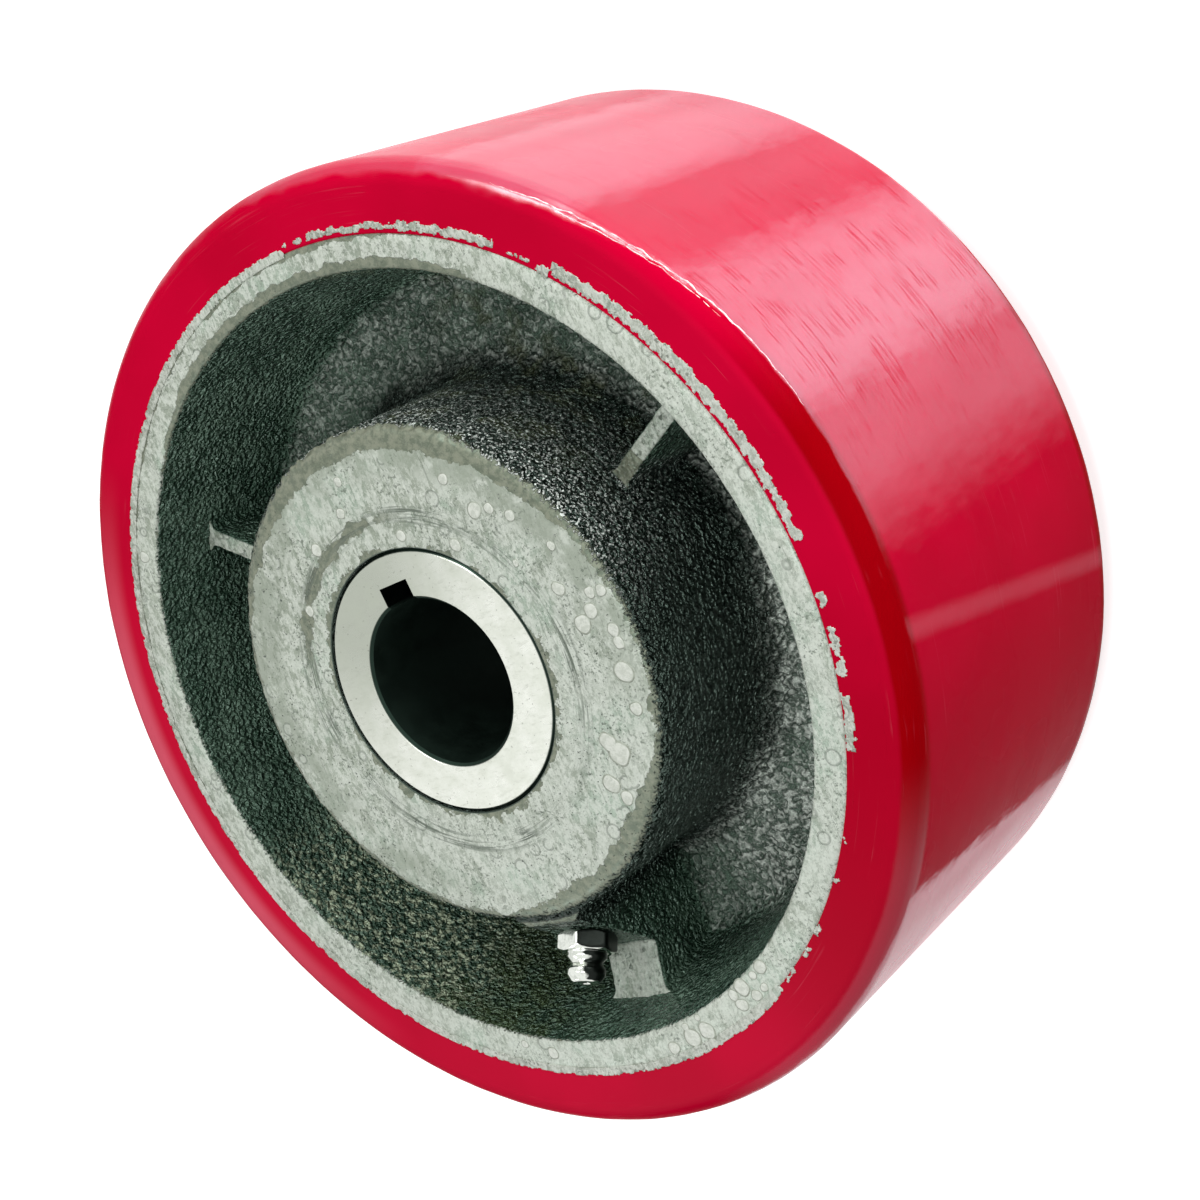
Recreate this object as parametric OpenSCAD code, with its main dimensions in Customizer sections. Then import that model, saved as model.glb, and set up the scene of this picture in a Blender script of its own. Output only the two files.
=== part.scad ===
// Drive wheel for a keyed shaft: a ribbed iron core, a polyurethane tread
// moulded round its rim, a steel bushing pressed into its hub and a grease
// fitting screwed into the boss of its widest rib.
// The wheel lies on its side. Z is the axle line, z = 0 is the rear hub face
// and the grease fitting points to -Y on the front side.

/* [Tread] */
// Outside diameter of the tread
wheel_d = 203.2; // [190:0.1:240]
// Width of the tread and of the rim under it
tread_w = 88.9; // [76:0.1:100]
// Radius of the tread's two outer corners
tread_corner_r = 4.8; // [1:0.1:10]
// Thickness of the tread on the rim
tread_t = 12.7; // [8:0.1:18]
// Depth of the fine groove where the tread meets the rim's face
tread_groove = 0.3; // [0.1:0.05:0.5]

/* [Core] */
// Chamfer on the rim's outer edges, which the tread covers
rim_chamfer = 1.2; // [0.8:0.1:2]
// Width of the bare ring that shows at the rim's face
rim_face_w = 6.2; // [4:0.1:12]
// Slope of the rim's inner wall, in degrees
rim_draft = 9.4; // [2:0.1:12]
// Length of the hub
hub_len = 96.5; // [90:0.1:110]
// Diameter of the hub barrel below its rounded edge
hub_d = 104.8; // [90:0.1:110]
// Radius of the hub's cast edge
hub_edge_r = 2.7; // [0.5:0.1:4]
// Slope of the hub barrel, in degrees
hub_draft = 1; // [0.5:0.1:4]
// Thickness of the web between hub and rim
web_t = 19; // [10:0.1:26]
// Fillet between the web and the hub
hub_fillet_r = 7; // [2:0.1:9]
// Fillet between the web and the rim
rim_fillet_r = 5; // [2:0.1:8]
// Radius of the rim's inner edge
rim_edge_r = 0.8; // [0.2:0.1:1.5]

/* [Ribs] */
// Width of a thin rib at its top
rib_w = 4; // [3:0.1:8]
// Depth of the rib tops below the rim's face
rib_drop = 14.2; // [8:0.1:20]
// Slope of a rib's sides, in degrees
rib_draft = 2.5; // [1:0.1:5]
// Radius along the top edges of a thin rib
rib_edge_r = 0.9; // [0.2:0.1:1.2]
// Fillet at the foot and at both ends of a rib
rib_fillet_r = 2; // [0.5:0.1:3]
// Direction of the first thin rib, in degrees from +X
rib_dir = 27.7; // [10:0.1:50]
// Angle from one thin rib to the next
rib_step = 120; // [100:0.5:130]

/* [Fitting boss] */
// Direction of the grease fitting and of its rib, in degrees from +X
fitting_dir = 270; // [255:0.5:285]
// Width of the boss and of its rib
boss_w = 14; // [12.5:0.1:22]
// Lean of the fitting from straight out towards the front face, in degrees
fitting_tilt = 37; // [25:0.5:42]
// Distance of the fitting's seat from the hub barrel
seat_reach = 8.1; // [7:0.1:10]
// Depth of the seat's centre below the front hub face
seat_drop = 10.9; // [9:0.1:15]
// Depth of the boss's top below the front hub face
boss_drop = 2.2; // [1:0.1:5]
// Slope of the pad between the boss and the rim, in degrees
pad_tilt = 17; // [0:0.5:25]
// Radius of the boss's corners
boss_edge_r = 1.4; // [0.3:0.1:2]
// Diameter of the drilled grease passage
passage_d = 4.5; // [2:0.1:6]

/* [Bushing] */
// Outside diameter of the bushing, and the bore of the hub
bush_d = 55.56; // [50:0.01:64]
// Bore for the drive shaft
bore_d = 34.925; // [25:0.005:38]
// Width of the keyway
key_w = 7.94; // [4:0.01:10]
// Depth of the keyway from the crown of the bore
key_depth = 3.97; // [2:0.01:5]
// Direction of the keyway, in degrees from +X
key_dir = 93.4; // [0:0.1:180]
// Chamfer on the edges of the bushing
bush_chamfer = 0.7; // [0.2:0.1:1.5]
// Depth of the bushing's ends below the hub faces
bush_sink = 0.2; // [0:0.1:1]

/* [Grease fitting] */
// Width of the hexagon across its flats
hex_af = 11.1; // [10:0.1:12.7]
// Height of the hexagon
hex_h = 4.2; // [3:0.1:6]
// Turn of the hexagon about the fitting, in degrees
hex_turn = 38.6; // [0:0.1:60]
// Diameter of the threaded shank
shank_d = 9.5; // [8:0.1:9.8]
// Length of the threaded shank
shank_len = 7.2; // [5:0.1:9]
// Clearance of the shank in its tapped hole, on the radius
shank_gap = 0.05; // [0.02:0.01:0.1]
// Diameter of the coupling head
head_d = 6.7; // [6:0.1:7.2]
// Diameter of the neck behind the head
neck_d = 5; // [4.4:0.1:5.6]
// Height from the seat to the tip of the head
fitting_h = 10.4; // [10:0.1:13]
// Diameter of the hole in the tip, which the ball closes
tip_hole_d = 1.7; // [1.4:0.1:1.8]
// Diameter of the inlet at the end of the shank
inlet_d = 1.4; // [1:0.1:1.6]
// Diameter of the check ball
ball_d = 2.38; // [2:0.01:2.6]
// Clearance of the closed ball from the lip it seals against
ball_gap = 0.03; // [0.01:0.01:0.1]
// Wire diameter of the ball's spring
wire_d = 0.3; // [0.2:0.05:0.4]
// Number of turns of the ball's spring
spring_turns = 9; // [6:1:12]

/* [Hidden] */
$fn = 96;
arc_steps = 6;                       // straight pieces in one rounded corner
sink = 3;                            // how far a rib's ends run into the metal
rib_land = 0.5;                      // strip of rib under the web beside its fillet
rib_sink = 0.05;                     // keeps that strip just under the web
flare_reach = 1.2 * rib_fillet_r;    // spread of a rib's ends along the walls
flare_inset = 0.05;                  // keeps a flare just inside the rib's sides

// Levels along the axle line
mid_z = hub_len / 2;
rim_top = mid_z + tread_w / 2;
web_top = mid_z + web_t / 2;
rib_top = rim_top - rib_drop;

// Radii
bush_r = bush_d / 2;
bore_r = bore_d / 2;
hub_r = hub_d / 2;
core_r = wheel_d / 2 - tread_t;
face_r = core_r - rim_chamfer;       // outer edge of the rim's bare face
rim_inner_r = face_r - rim_face_w;
function barrel_r(z) = hub_r + (hub_len - hub_edge_r - z) * tan(hub_draft);
function rim_wall_r(z) = rim_inner_r - (rim_top - z) * tan(rim_draft);

// Seat of the grease fitting and the lines that shape its boss, as [r, z]
seat = [hub_r + seat_reach, hub_len - seat_drop];
seat_line = [sin(fitting_tilt), -cos(fitting_tilt)];
pad_end = [rim_wall_r(rib_top), rib_top];
pad_line = [cos(pad_tilt), sin(pad_tilt)];
hole_end = 1;                        // tapped hole left free behind the shank
shank_hole_len = shank_len + hole_end;
passage_len = (seat[0] - bush_r) / cos(fitting_tilt) + passage_d;

// Inside of the grease fitting, as heights above its seat
wire_r = wire_d / 2;
channel_gap = 0.15;                  // room round the ball and round the spring
coil_gap = 0.03;                     // room at both ends of the spring
ball_r = ball_d / 2;
chamber_r = ball_r + channel_gap;
lip_r = tip_hole_d / 2;
lip_h = 0.5;                         // length of the hole in the tip
lip_slope = 1.35;                    // steepness of the cone under it
lip_z = fitting_h - lip_h;
lip_cone_h = (chamber_r - lip_r) * lip_slope;
ball_z = lip_z - sqrt(ball_r * ball_r - lip_r * lip_r) - ball_gap;
foot_h = 0.6;                        // lip rolled in under the spring
coil_r = chamber_r - channel_gap - wire_r;
coil_low = foot_h - shank_len + wire_r + coil_gap;
coil_high = ball_z - sqrt(pow(ball_r + wire_r + coil_gap, 2) - coil_r * coil_r);
coil_steps = 14;                     // straight pieces in one turn
coil_sides = 6;

function unit(v) = v / norm(v);

// The point where the line through p along d meets the line through q along e
function meet(p, d, q, e) = p + d * cross(q - p, e) / cross(d, e);

// The points of corner b, between a and c, rounded to radius r
function corner(a, b, c, r) =
    let (
        u = unit(a - b),
        v = unit(c - b),
        half = acos(u * v) / 2,
        centre = b + unit(u + v) * r / sin(half),
        start = b + u * r / tan(half) - centre,
        from = atan2(start[1], start[0]),
        turn = (180 - 2 * half) * sign(cross(b - a, c - b))
    )
    [for (i = [0:arc_steps])
        let (angle = from + turn * i / arc_steps)
        centre + r * [cos(angle), sin(angle)]];

// An outline from corners given as [x, y, radius]
function rounded(p) = [
    for (i = [0:len(p) - 1])
        let (
            last = p[(i + len(p) - 1) % len(p)],
            here = p[i],
            next = p[(i + 1) % len(p)],
            xy = [here[0], here[1]]
        )
        each here[2] > 0
            ? corner([last[0], last[1]], xy, [next[0], next[1]], here[2])
            : [xy]];

// Repeats its children on the rear side of the wheel
module rear() {
    translate([0, 0, hub_len])
        mirror([0, 0, 1])
            children();
}

// Moves its children to the fitting's seat, with +Z along the fitting
module at_seat() {
    rotate([0, 0, fitting_dir])
        translate([seat[0], 0, seat[1]])
            rotate([0, 90 - fitting_tilt, 0])
                children();
}

// The half of the core's section on the front side, from the bore outwards
function core_half() = [
    [bush_r, hub_len, 0],
    [hub_r, hub_len, hub_edge_r],
    [barrel_r(web_top), web_top, hub_fillet_r],
    [rim_wall_r(web_top), web_top, rim_fillet_r],
    [rim_inner_r, rim_top, rim_edge_r],
    [face_r, rim_top, 0],
    [core_r, rim_top - rim_chamfer, 0]];

module core_blank() {
    front = core_half();
    back = [for (i = [len(front) - 1:-1:0])
        [front[i][0], hub_len - front[i][1], front[i][2]]];
    rotate_extrude()
        polygon(rounded(concat(front, back)));
}

// A bar along +X with sloped sides, a rounded top and a filleted foot
module rib_bar(top_w, from_r, to_r) {
    foot_z = web_top - rib_sink;
    foot_w = top_w + 2 * (rib_top - foot_z) * tan(rib_draft);
    edge = foot_w / 2 + rib_fillet_r + rib_land;
    translate([from_r, 0, 0])
        rotate([90, 0, 90])
            linear_extrude(to_r - from_r)
                polygon(rounded([
                    [-edge, mid_z, 0],
                    [edge, mid_z, 0],
                    [edge, foot_z, 0],
                    [foot_w / 2, foot_z, rib_fillet_r],
                    [top_w / 2, rib_top, rib_edge_r],
                    [-top_w / 2, rib_top, rib_edge_r],
                    [-foot_w / 2, foot_z, rib_fillet_r],
                    [-edge, foot_z, 0]]));
}

// The fillet that widens a rib of width w where it meets a wall at wall_r;
// side is 1 for the rim's wall and -1 for the hub's barrel
module rib_flare(w, wall_r, side, top) {
    narrow = w / 2 - flare_inset;
    wide = w / 2 + flare_reach;
    translate([wall_r, 0, mid_z])
        mirror([side < 0 ? 1 : 0, 0, 0])
            linear_extrude(top - mid_z)
                polygon(rounded([
                    [-flare_reach, -narrow, 0],
                    [0, -narrow, rib_fillet_r],
                    [0, -wide, 0],
                    [sink, -wide, 0],
                    [sink, wide, 0],
                    [0, wide, 0],
                    [0, narrow, rib_fillet_r],
                    [-flare_reach, narrow, 0]]));
}

module thin_rib() {
    rib_bar(rib_w, barrel_r(web_top) - sink, rim_wall_r(rib_top) + 1);
    rib_flare(rib_w, rim_wall_r(rib_top), 1, rib_top);
    rib_flare(rib_w, barrel_r(rib_top), -1, rib_top);
}

// The boss and the wide rib behind the grease fitting
module fitting_rib() {
    hub_side = [hub_r - sink, hub_len - boss_drop];
    crest = meet(hub_side, [1, 0], seat, seat_line);
    valley = meet(seat, seat_line, pad_end, pad_line);
    rim_side = pad_end + pad_line * sink;
    translate([0, boss_w / 2, 0])
        rotate([90, 0, 0])
            linear_extrude(boss_w)
                polygon(rounded([
                    [hub_side[0], mid_z, 0],
                    [rim_side[0], mid_z, 0],
                    [rim_side[0], rim_side[1], 0],
                    [valley[0], valley[1], boss_edge_r],
                    [crest[0], crest[1], boss_edge_r],
                    [hub_side[0], hub_side[1], 0]]));
    rib_flare(boss_w, pad_end[0], 1, rib_top);
}

// The tapped hole and the passage that leads to the bushing
module grease_way() {
    at_seat() {
        translate([0, 0, -shank_hole_len])
            cylinder(h = shank_hole_len + seat_drop, r = shank_d / 2 + shank_gap);
        translate([0, 0, -passage_len])
            cylinder(h = passage_len, d = passage_d);
    }
}

module core() {
    color("dimgray")
        difference() {
            union() {
                core_blank();
                for (i = [0:1])
                    rotate([0, 0, rib_dir + i * rib_step]) {
                        thin_rib();
                        rear() thin_rib();
                    }
                rotate([0, 0, fitting_dir]) {
                    fitting_rib();
                    rear() thin_rib();
                }
            }
            grease_way();
        }
}

module tread() {
    low = mid_z - tread_w / 2;
    outer_r = wheel_d / 2;
    edge_r = face_r + tread_groove;
    color("crimson")
        rotate_extrude()
            polygon(rounded([
                [core_r, low + rim_chamfer, 0],
                [edge_r, low + tread_groove, 0],
                [edge_r + tread_groove, low, 0],
                [outer_r, low, tread_corner_r],
                [outer_r, rim_top, tread_corner_r],
                [edge_r + tread_groove, rim_top, 0],
                [edge_r, rim_top - tread_groove, 0],
                [core_r, rim_top - rim_chamfer, 0]]));
}

module keyed_bushing() {
    low = bush_sink;
    high = hub_len - bush_sink;
    c = bush_chamfer;
    color("silver")
        difference() {
            rotate_extrude()
                polygon([
                    [bore_r + c, low], [bush_r - c, low],
                    [bush_r, low + c], [bush_r, high - c],
                    [bush_r - c, high], [bore_r + c, high],
                    [bore_r, high - c], [bore_r, low + c]]);
            rotate([0, 0, key_dir])
                translate([0, -key_w / 2, -1])
                    cube([bore_r + key_depth, key_w, hub_len + 2]);
        }
}

// The turned outline of the fitting, as [radius, height above the seat]
module fitting_blank() {
    shank_r = shank_d / 2;
    neck_r = neck_d / 2;
    head_r = head_d / 2;
    collar_r = head_r + 0.35;
    collar_z = hex_h + 1.1;
    neck_z = hex_h + 1.9;
    neck_h = 0.7;
    head_low = fitting_h - 2.2;
    tip_r = lip_r + 1;
    step_z = 0.5;
    lead = [0.5, 1];
    rotate_extrude()
        polygon(rounded([
            [0, -shank_len, 0],
            [shank_r - lead[0], -shank_len, 0],
            [shank_r, -shank_len + lead[1], 0],
            [shank_r, step_z, 0],
            [collar_r, step_z, 0],
            [collar_r, collar_z, 0.3],
            [neck_r, neck_z, 0.3],
            [neck_r, neck_z + neck_h, 0.2],
            [head_r, head_low, 0.5],
            [tip_r, fitting_h, 0.4],
            [0, fitting_h, 0]]));
}

module fitting_hex() {
    corner_r = hex_af / 2 / cos(30);
    slope_h = (corner_r - hex_af / 2) * tan(30);
    intersection() {
        rotate([0, 0, hex_turn])
            cylinder(h = hex_h, r = corner_r, $fn = 6);
        rotate_extrude()
            polygon([
                [0, 0], [corner_r, 0], [corner_r, hex_h - slope_h],
                [hex_af / 2, hex_h], [0, hex_h]]);
    }
}

// The channel that holds the ball and its spring
module fitting_channel() {
    rotate_extrude()
        polygon([
            [0, -shank_len - 1], [inlet_d / 2, -shank_len - 1],
            [inlet_d / 2, foot_h - shank_len], [chamber_r, foot_h - shank_len],
            [chamber_r, lip_z - lip_cone_h], [lip_r, lip_z],
            [lip_r, fitting_h + 1], [0, fitting_h + 1]]);
}

module grease_fitting() {
    color("gainsboro")
        at_seat()
            difference() {
                union() {
                    fitting_blank();
                    fitting_hex();
                }
                fitting_channel();
            }
}

module fitting_ball() {
    color("lightsteelblue")
        at_seat()
            translate([0, 0, ball_z])
                sphere(d = ball_d);
}

// A round wire wound upwards from the rolled lip to the ball
module fitting_spring() {
    count = spring_turns * coil_steps;
    rings = [for (i = [0:count])
        let (
            angle = 360 * i / coil_steps,
            rise = coil_low + (coil_high - coil_low) * i / count
        )
        for (k = [0:coil_sides - 1])
            let (
                around = 360 * k / coil_sides,
                r = coil_r + wire_r * cos(around)
            )
            [r * cos(angle), r * sin(angle), rise + wire_r * sin(around)]];
    sides = [for (i = [0:count - 1], k = [0:coil_sides - 1])
        let (
            here = i * coil_sides + k,
            next = i * coil_sides + (k + 1) % coil_sides
        )
        each [
            [here, next, next + coil_sides],
            [here, next + coil_sides, here + coil_sides]]];
    first = [for (k = [coil_sides - 1:-1:0]) k];
    last = [for (k = [0:coil_sides - 1]) count * coil_sides + k];
    color("slategray")
        at_seat()
            polyhedron(points = rings, faces = concat(sides, [first, last]));
}

core();
tread();
keyed_bushing();
grease_fitting();
fitting_ball();
fitting_spring();
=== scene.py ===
import math

import bpy
import bmesh
from mathutils import Matrix, Vector, noise


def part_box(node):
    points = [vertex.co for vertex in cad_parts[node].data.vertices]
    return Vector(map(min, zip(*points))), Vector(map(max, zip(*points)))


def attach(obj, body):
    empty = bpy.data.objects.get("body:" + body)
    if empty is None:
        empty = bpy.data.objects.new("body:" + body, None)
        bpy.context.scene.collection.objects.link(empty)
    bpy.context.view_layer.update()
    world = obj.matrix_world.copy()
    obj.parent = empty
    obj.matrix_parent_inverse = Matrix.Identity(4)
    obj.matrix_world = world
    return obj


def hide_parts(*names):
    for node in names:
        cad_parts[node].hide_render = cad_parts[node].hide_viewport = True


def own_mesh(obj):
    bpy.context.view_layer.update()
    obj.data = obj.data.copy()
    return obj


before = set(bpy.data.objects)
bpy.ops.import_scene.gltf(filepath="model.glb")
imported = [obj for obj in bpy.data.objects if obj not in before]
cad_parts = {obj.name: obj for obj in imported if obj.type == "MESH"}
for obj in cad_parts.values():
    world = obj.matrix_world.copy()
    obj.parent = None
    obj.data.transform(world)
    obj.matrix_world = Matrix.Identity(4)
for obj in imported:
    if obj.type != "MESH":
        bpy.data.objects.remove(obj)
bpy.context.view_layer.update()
mm = 0.001  # every size below is in millimetres
fineArc = 0.55  # step along every rounded corner


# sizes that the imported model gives, measured from the wheel's middle plane
coreLow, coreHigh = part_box("core")
treadLow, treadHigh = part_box("tread")
wheel = {
    "middle": (coreLow[2] + coreHigh[2]) / 2 / mm,
    "hubTop": (coreHigh[2] - coreLow[2]) / 2 / mm - 0.12,  # room for drops of paint
    "rimTop": (treadHigh[2] - treadLow[2]) / 2 / mm,
    "treadR": (treadHigh[0] - treadLow[0]) / 2 / mm - 0.08,  # room for the roughness
    "hubSide": 65,  # a radius between the hub and the rim
}


# mesh helpers

def slope(degrees):
    return math.tan(math.radians(degrees))


def smooth(low, high, value):
    t = min(1.0, max(0.0, (value - low) / (high - low)))
    return t * t * (3 - 2 * t)


def hollow(distance, radius):
    # how far a fillet of this radius stands out at a distance from the wall it joins
    gap = radius - min(max(distance, 0.0), radius)
    return radius - math.sqrt(max(0.0, radius * radius - gap * gap))


def lumps(place, size, seed):
    return noise.noise(place / size + Vector((seed, 2.3 * seed, -1.7 * seed)))


def polar(radius, angle, height):
    return Vector((radius * math.cos(angle), radius * math.sin(angle), height))


def roundedLine(corners):
    # corners are (x, y, radius, step): a corner is rounded with steps of fineArc, and the straight
    # stretch after it is cut into pieces of about its step
    arcs = []
    for i, (x, y, radius, step) in enumerate(corners):
        here = Vector((x, y))
        if radius == 0 or i in (0, len(corners) - 1):
            arcs.append([here])
            continue
        before = (Vector(corners[i - 1][:2]) - here).normalized()
        after = (Vector(corners[i + 1][:2]) - here).normalized()
        half = before.angle(after) / 2
        centre = here + (before + after).normalized() * radius / math.sin(half)
        start = here + before * radius / math.tan(half) - centre
        turn = (math.pi - 2 * half) * (1 if before.cross(after) < 0 else -1)
        steps = max(3, round(radius * abs(turn) / fineArc))
        arcs.append([centre + Matrix.Rotation(turn * k / steps, 2) @ start for k in range(steps + 1)])
    line = []
    for arc, beyond, corner in zip(arcs, arcs[1:], corners):
        pieces = max(1, round((beyond[0] - arc[-1]).length / corner[3]))
        line += arc
        line += [arc[-1].lerp(beyond[0], k / pieces) for k in range(1, pieces)]
    return line + arcs[-1]


def joinRows(first, rows, count, ends):
    # quads between rows of points that are rings of this count; the end rows are joined to each
    # other, capped, or left open
    faces = []
    for i in range(rows if ends == "joined" else rows - 1):
        a, b = first + i * count, first + (i + 1) % rows * count
        faces += [(a + k, b + k, b + (k + 1) % count, a + (k + 1) % count) for k in range(count)]
    if ends == "capped":
        last = first + (rows - 1) * count
        faces += [tuple(range(first, first + count)), tuple(range(last, last + count))]
    return faces


def addPiece(name, points, faces, material):
    mesh = bpy.data.meshes.new(name)
    mesh.from_pydata([p * mm for p in points], [], faces)
    tidy = bmesh.new()
    tidy.from_mesh(mesh)
    bmesh.ops.recalc_face_normals(tidy, faces=tidy.faces)
    tidy.to_mesh(mesh)
    tidy.free()
    for face in mesh.polygons:
        face.use_smooth = True
    mesh.materials.append(material)
    piece = bpy.data.objects.new(name, mesh)
    bpy.context.scene.collection.objects.link(piece)
    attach(piece, "wheel")
    return piece


def roughen(piece, skin):
    # moves every point along its normal by skin(place), in mm
    points = piece.data.vertices
    moves = [v.normal * skin(v.co / mm) * mm for v in points]
    for v, move in zip(points, moves):
        v.co += move
    piece.data.update()


def lathe(name, shown, hidden, turns, side, material, skin):
    # turns an outline of (radius, height over the middle plane) round the axle; the shown run of it
    # is moved outwards by skin(place), and the hidden points close it inside the wheel
    last = len(shown) - 1
    outline = []
    for k, p in enumerate(shown):
        way = (shown[min(k + 1, last)] - shown[max(k - 1, 0)]).normalized()
        outline.append((p, Vector((-way.y, way.x))))
    outline += [(Vector(p), None) for p in hidden]
    points = []
    for i in range(turns):
        angle = 2 * math.pi * i / turns
        c, s = math.cos(angle), math.sin(angle)
        for p, out in outline:
            place = Vector((p.x * c, p.x * s, wheel["middle"] + side * p.y))
            if out:
                place += Vector((out.x * c, out.x * s, side * out.y)) * skin(place)
            points.append(place)
    piece = addPiece(name, points, joinRows(0, turns, len(outline), "joined"), material)
    piece.data.set_sharp_from_angle(angle=math.radians(70))
    return piece


# node helpers

def feed(tree, node, values):
    # a socket is linked to the input, and anything else becomes the input's own value
    for key, value in values.items():
        if isinstance(value, bpy.types.NodeSocket):
            tree.links.new(value, node.inputs[key])
        else:
            node.inputs[key].default_value = value
    return node


def addNode(tree, kind, values, **settings):
    node = tree.nodes.new("ShaderNode" + kind)
    for name, value in settings.items():
        setattr(node, name, value)
    return feed(tree, node, values)


def calc(tree, operation, *values):
    return addNode(tree, "Math", dict(enumerate(values)), operation=operation).outputs[0]


def times(tree, product, *others):
    for value in others:
        product = calc(tree, "MULTIPLY", product, value)
    return product


def most(tree, highest, *others):
    for value in others:
        highest = calc(tree, "MAXIMUM", highest, value)
    return highest


def scaled(tree, value, factor, shift):
    return calc(tree, "MULTIPLY_ADD", value, factor, shift)


def minus(tree, first, second):
    return calc(tree, "SUBTRACT", first, second)


def ramp(tree, value, low, high, start=0.0, end=1.0):
    values = {"Value": value, "From Min": low, "From Max": high, "To Min": start, "To Max": end}
    return addNode(tree, "MapRange", values, interpolation_type="SMOOTHSTEP").outputs[0]


def mix(tree, factor, first, second):
    return addNode(tree, "Mix", {0: factor, 6: first, 7: second}, data_type="RGBA").outputs[2]


def cloud(tree, place, size, detail=2.0, roughness=0.5):
    values = {"Vector": place, "Scale": 1 / size, "Detail": detail, "Roughness": roughness}
    return addNode(tree, "TexNoise", values).outputs["Fac"]


def stretched(tree, place, scale):
    return addNode(tree, "VectorMath", {0: place, 1: scale}, operation="MULTIPLY").outputs[0]


def bump(tree, height, distance):
    return addNode(tree, "Bump", {"Height": height, "Distance": distance * mm, "Strength": 1.0}).outputs[0]


def useGroup(tree, group, values):
    return addNode(tree, "Group", values, node_tree=group).outputs


def colour(red, green, blue):
    # an 8-bit colour as the eye reads it, turned into the linear one that shaders take
    linear = [c / 3294.6 if c < 11 else ((c / 255 + 0.055) / 1.055) ** 2.4 for c in (red, green, blue)]
    return (*linear, 1.0)


def newGroup(name, inputs, outputs):
    group = bpy.data.node_groups.new(name, "ShaderNodeTree")
    for way, sockets in (("INPUT", inputs), ("OUTPUT", outputs)):
        for label, kind in sockets.items():
            group.interface.new_socket(name=label, in_out=way, socket_type="NodeSocket" + kind)
    return group, group.nodes.new("NodeGroupInput").outputs, group.nodes.new("NodeGroupOutput")


def newMaterial(name):
    material = bpy.data.materials.new(name)
    material.use_nodes = True
    tree = material.node_tree
    return material, tree, tree.nodes["Principled BSDF"]


# shared effects

# size in mm, detail and roughness of each noise in the cast skin
grainSizes = {
    "ridges": (1.9, 1, 0.4),
    "grit": (0.6, 2, 0.6),
    "wrinkles": (2.1, 2, 0.55),
}


def buildWheelPlace():
    # position in mm, distance from the axle, angle round it in degrees, height over the middle
    # plane, and a vector that runs along the turning direction for turned or rubbed marks
    outputs = {"Place": "Vector", "Radius": "Float", "Angle": "Float", "Height": "Float", "Around": "Vector"}
    tree, given, out = newGroup("wheelPlace", {"Position": "Vector"}, outputs)
    place = stretched(tree, given["Position"], (1 / mm, 1 / mm, 1 / mm))
    x, y, z = addNode(tree, "SeparateXYZ", {0: place}).outputs
    radius = calc(tree, "SQRT", calc(tree, "ADD", calc(tree, "POWER", x, 2), calc(tree, "POWER", y, 2)))
    # the unit direction from the axle keeps the marks whole where the angle jumps back
    flat = addNode(tree, "CombineXYZ", {0: x, 1: y}).outputs[0]
    way = addNode(tree, "VectorMath", {0: flat}, operation="NORMALIZE").outputs[0]
    across = addNode(tree, "CombineXYZ", {2: calc(tree, "ADD", radius, z)}).outputs[0]
    along = stretched(tree, way, (9, 9, 0))
    feed(tree, out, {
        "Place": place,
        "Radius": radius,
        "Angle": times(tree, calc(tree, "ARCTAN2", y, x), 180 / math.pi),
        "Height": calc(tree, "ABSOLUTE", minus(tree, z, wheel["middle"])),
        "Around": addNode(tree, "VectorMath", {0: along, 1: across}, operation="ADD").outputs[0],
    })
    return tree


def buildSector():
    # 1 inside a stretch of angle round the axle, with soft ends
    inputs = dict.fromkeys(("Angle", "Centre", "Half", "Soft"), "Float")
    tree, given, out = newGroup("sector", inputs, {"Mask": "Float"})
    turn = calc(tree, "WRAP", minus(tree, given["Angle"], given["Centre"]), 180, -180)
    low = minus(tree, given["Half"], given["Soft"])
    high = calc(tree, "ADD", given["Half"], given["Soft"])
    feed(tree, out, {"Mask": ramp(tree, calc(tree, "ABSOLUTE", turn), low, high, 1.0, 0.0)})
    return tree


def buildCastGrain():
    # the sandy skin of an iron casting: wavy ridges about a millimetre apart, grit and wrinkles
    outputs = dict.fromkeys(("Height", "Grit", "Wrinkles"), "Float")
    tree, given, out = newGroup("castGrain", {"Place": "Vector"}, outputs)
    place = given["Place"]
    waves = calc(tree, "ABSOLUTE", minus(tree, cloud(tree, place, *grainSizes["ridges"]), 0.5))
    ridges = ramp(tree, waves, 0.0, 0.16, 1.0, 0.0)
    cells = addNode(tree, "TexVoronoi", {"Vector": place, "Scale": 0.8}).outputs["Distance"]
    grains = ramp(tree, cells, 0.1, 0.8, 1.0, 0.0)
    grit = cloud(tree, place, *grainSizes["grit"])
    valleys = calc(tree, "ABSOLUTE", minus(tree, cloud(tree, place, *grainSizes["wrinkles"]), 0.5))
    feed(tree, out, {
        "Height": scaled(tree, grit, 0.5, scaled(tree, ridges, 0.45, times(tree, grains, 0.6))),
        "Grit": grit,
        "Wrinkles": ramp(tree, valleys, 0.0, 0.13),
    })
    return tree


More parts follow.
